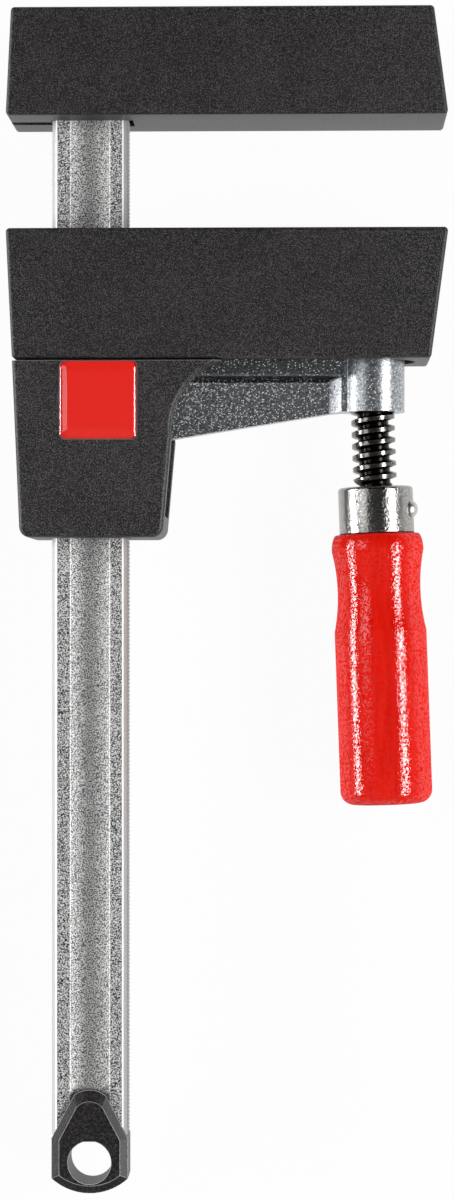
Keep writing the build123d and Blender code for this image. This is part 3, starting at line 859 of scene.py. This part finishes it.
def make_cross_pin():
    """Riveted pin: a straight shank with a domed head, filed flush at its far end."""
    sphere = (pin_head_radius**2 + pin_head_height**2) / (2 * pin_head_height)
    lean = math.degrees(math.asin(pin_head_radius / sphere))
    top = ferrule_radius + pin_head_height
    seat = ferrule_radius - pin_head_sink
    profile = [
        (0, -ferrule_radius),
        (pin_radius, -ferrule_radius),
        (pin_radius, seat),
        (pin_head_radius, seat),
        *arc((0, top - sphere), sphere, 90 - lean, pin_arc_end, edge_steps),
        (0, top),
    ]
    across = screw_frame @ Matrix.Rotation(-pin_turn, 4, "Z") @ Matrix.Rotation(quarter_turn, 4, "Y")
    return lathe("ferrule_pin", profile, across, pin_segments)


def make_handle():
    """Turned handle: bulged collar under the ferrule, hollow neck for finger and thumb, straight grip."""
    foot = -ferrule_half
    socket_radius = ferrule_radius - ferrule_wall
    collar_low = foot - handle_collar_length
    shoulder = foot - handle_shoulder_length
    end = foot - handle_length
    bulge = handle_radius - handle_collar_radius
    profile = [
        (0, ferrule_half - ferrule_wall),
        (socket_radius, ferrule_half - ferrule_wall),
        (socket_radius, foot),
        (handle_collar_radius - handle_collar_bevel, foot),
    ]
    for i in range(1, edge_steps + 1):
        turn = quarter_turn * i / edge_steps
        height = collar_low + handle_collar_length * math.cos(turn)
        profile.append((handle_collar_radius + bulge * math.sin(turn), height))
    neck_middle = (handle_neck_radius, (collar_low + shoulder) / 2)
    neck = arc_through((handle_radius, collar_low), neck_middle, (handle_radius, shoulder), handle_neck_steps)
    profile += neck[1:]
    for i in range(1, handle_grip_steps - 1):
        profile.append((handle_radius, shoulder - (shoulder - end) * i / handle_grip_steps))
    corner = (handle_radius - handle_end_radius, end + handle_end_radius)
    profile += arc(corner, handle_end_radius, 0, -90, handle_end_steps)
    profile.append((0, end))
    return lathe("turned_handle", profile, screw_frame, handle_segments, soft_crease)


def badge_loop(mesh, centre, half, inset, height):
    """One rounded square of the badge, drawn in by an inset."""
    radius = max(badge_corner - inset * badge_corner_shrink, badge_smallest_corner)
    loop = []
    for corner, (side_x, side_y) in enumerate(((1, 1), (-1, 1), (-1, -1), (1, -1))):
        x = centre.x + side_x * (half.x - inset - radius)
        y = centre.y + side_y * (half.y - inset - radius)
        for step in range(badge_corner_steps + 1):
            angle = quarter_turn * (corner + step / badge_corner_steps)
            loop.append(mesh.verts.new((x + radius * math.cos(angle), y + radius * math.sin(angle), height)))
    return loop


def make_badge_dome():
    """Poured resin dome: level in the middle, rolled down all round to a thin rim."""
    low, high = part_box("badge_dome")
    centre = (low + high) / 2
    half = (high - low) / 2
    shoulder = low.z + badge_rim
    mesh = bmesh.new()
    loops = [badge_loop(mesh, centre, half, 0.0, low.z + badge_float)]
    for inset, share in badge_crown:
        loops.append(badge_loop(mesh, centre, half, inset * MM, shoulder + (high.z - shoulder) * share))
    for lower, upper in zip(loops, loops[1:]):
        join_rings(mesh, lower, upper)
    mesh.faces.new(loops[-1])
    mesh.faces.new(list(reversed(loops[0])))
    return to_piece("badge_resin", mesh, soft_crease)


def make_floor():
    """Plain white table top: lit by the lamps, and lifted to white where the camera or a mirror sees it."""
    mesh = bmesh.new()
    bmesh.ops.create_grid(mesh, x_segments=1, y_segments=1, size=floor_size)
    floor = to_piece("floor", mesh)
    material = bpy.data.materials.new("white_table")
    tree = empty_tree(material)
    rays = add(tree, "ShaderNodeLightPath").outputs
    seen = calculate(tree, "ADD", rays["Is Camera Ray"], rays["Is Glossy Ray"])
    seen = calculate(tree, "ADD", seen, rays["Is Transmission Ray"])
    share = by_mask(tree, seen, 0.0, floor_lift)
    matt = add(tree, "ShaderNodeBsdfDiffuse", {"Color": to_linear("#e6e6e6")}).outputs[0]
    glow = add(tree, "ShaderNodeEmission", {"Strength": 1.0}).outputs[0]
    mix = add(tree, "ShaderNodeMixShader", {0: share, 1: matt, 2: glow}).outputs[0]
    add(tree, "ShaderNodeOutputMaterial", {"Surface": mix})
    floor.data.materials.append(material)


def make_world():
    """Pale walls that fade to a dark ceiling, which is a little lighter towards the rail's end."""
    world = bpy.data.worlds.new("white_room")
    bpy.context.scene.world = world
    tree = empty_tree(world)
    seen_way = add(tree, "ShaderNodeTexCoord").outputs["Generated"]
    direction = add(tree, "ShaderNodeSeparateXYZ", {0: seen_way}).outputs
    along_rail, up = direction["Y"], direction["Z"]
    ceiling = spread(tree, along_rail, -ceiling_reach, ceiling_reach, ceiling_light_end, ceiling_dark_end)
    on_wall = spread(tree, up, wall_edge, ceiling_edge, to_low=1.0, to_high=0.0)
    # Inputs 2 and 3 are the node's two plain values
    level = add(tree, "ShaderNodeMix", {0: on_wall, 2: ceiling, 3: wall_brightness}).outputs[0]
    room = add(tree, "ShaderNodeBackground", {"Color": (1.0, 1.0, 1.0, 1.0), "Strength": level})
    add(tree, "ShaderNodeOutputWorld", {"Surface": room.outputs[0]})


def looking_at(place, target):
    """Placement that looks from one point at another, with its top towards the fixed jaw."""
    back = (place - target).normalized()
    across = Vector((0.0, 1.0, 0.0)).cross(back).normalized()
    turned = Matrix((across, back.cross(across), back)).transposed().to_4x4()
    return Matrix.Translation(place) @ turned


def make_lamp(name, lean, width, length, radiance, along):
    """Rectangular lamp, leaning from straight above and set along the rail. Its power follows from its
    brightness and size."""
    lamp = bpy.data.lights.new(name, "AREA")
    lamp.shape = "RECTANGLE"
    lamp.size = width
    lamp.size_y = length
    lamp.energy = math.pi * width * length * radiance
    turn = math.radians(lean)
    target = Vector((0.0, 0.0, middle_z))
    place = target + lamp_distance * Vector((math.sin(turn), 0.0, math.cos(turn))) + Vector((0.0, along, 0.0))
    link_object(name, lamp).matrix_world = looking_at(place, target)


def make_camera():
    """Long lens straight down on the clamp, a little off its middle as in the photograph."""
    camera = bpy.data.cameras.new("camera")
    camera.lens = camera_lens
    camera.clip_start = camera_nearest
    camera.clip_end = camera_farthest
    place = Vector((rail_x + camera_throat_reach, clamping_y - camera_below_clamping, camera_height))
    aim = Vector((place.x + aim_x_offset, place.y + aim_y_offset, jaw_front_z))
    holder = link_object("camera", camera)
    holder.matrix_world = looking_at(place, aim)
    bpy.context.scene.camera = holder


casing = grained_casing("grained_nylon_casing", "#020101", "#585455")
# The neck is the jaws' nylon with slightly lighter colours: painted light
neck_plastic = grained_casing("grained_nylon_neck", "#030202", "#5f5b5c", edge_shine=0.32)
cap_plastic = grained_casing("satin_nylon_cap", "#0f0d0d", "#3b3738", cap_grain, cap_relief, edge_shine=0.9)
rail_steel = zinc_plated_rail()
arm_enamel = hammered_arm_enamel()
screw_steel = blackened_screw_steel()
ferrule_plate = nickel_plate("nickel_plated_ferrule", "#7a7775", roughness=0.16, relief=ferrule_relief)
pin_plate = nickel_plate("nickel_plated_pin", "#cfccc8", roughness=0.35, relief=pin_relief)
lacquer = red_lacquered_beech()
foil = printed_red_foil()
resin = clear_badge_resin()
pressed_steel = oiled_steel("oiled_pressed_steel", "#77777a", "#a9a9ac", roughness=0.38)
cast_core = oiled_steel("cast_core_iron", "#3a3a3b", "#5d5d5e", roughness=0.6)

for node, name, body, slot, material in (
    ("fixed_jaw_shell", "fixed_jaw_casing", "root", "black_casing", casing),
    ("sliding_jaw_shell", "sliding_jaw_casing", "sliding_jaw", "black_casing", casing),
    ("neck_housing", "neck_casing", "sliding_jaw", "black_casing", neck_plastic),
    ("rail_end_cap", "rail_cap", "root", "black_casing", cap_plastic),
    ("sliding_arm", "cast_arm", "arm", "arm_enamel", arm_enamel),
    ("jaw_channel", "pressed_channel", "sliding_jaw", "plain_steel", pressed_steel),
):
    dress(welded_copy(node, name), material, body, slot, node)

dress(make_rail(), rail_steel, "root", "rail_steel", "rail")
dress(make_rail_teeth(rail_steel), rail_steel, "root", "rail_steel", "rail")
dress(make_thread(), screw_steel, "screw", "blackened_steel", "spindle")
dress(make_screw_neck(), screw_steel, "screw", "blackened_steel", "spindle")
dress(make_ferrule(), ferrule_plate, "screw", "nickelled_steel", "ferrule")
dress(make_cross_pin(), pin_plate, "screw", "nickelled_steel", "cross_pin")
dress(make_handle(), lacquer, "screw", "red_lacquer", "handle")
dress(make_badge_dome(), resin, "sliding_jaw", "clear_resin", "badge_dome")

for node, material in (
    ("fixed_jaw_core", cast_core),
    ("fixed_jaw_pins", pressed_steel),
    ("thrust_cup", pressed_steel),
    ("snap_ring", pressed_steel),
    ("badge_foil", foil),
):
    data = frame["nodes"][node].data
    data.materials.clear()
    data.materials.append(material)

make_floor()
make_world()
make_lamp("left_box", **left_box)
make_lamp("left_panel", **left_panel)
make_lamp("right_box", **right_box)
make_camera()

bpy.context.scene.view_settings.view_transform = "Standard"
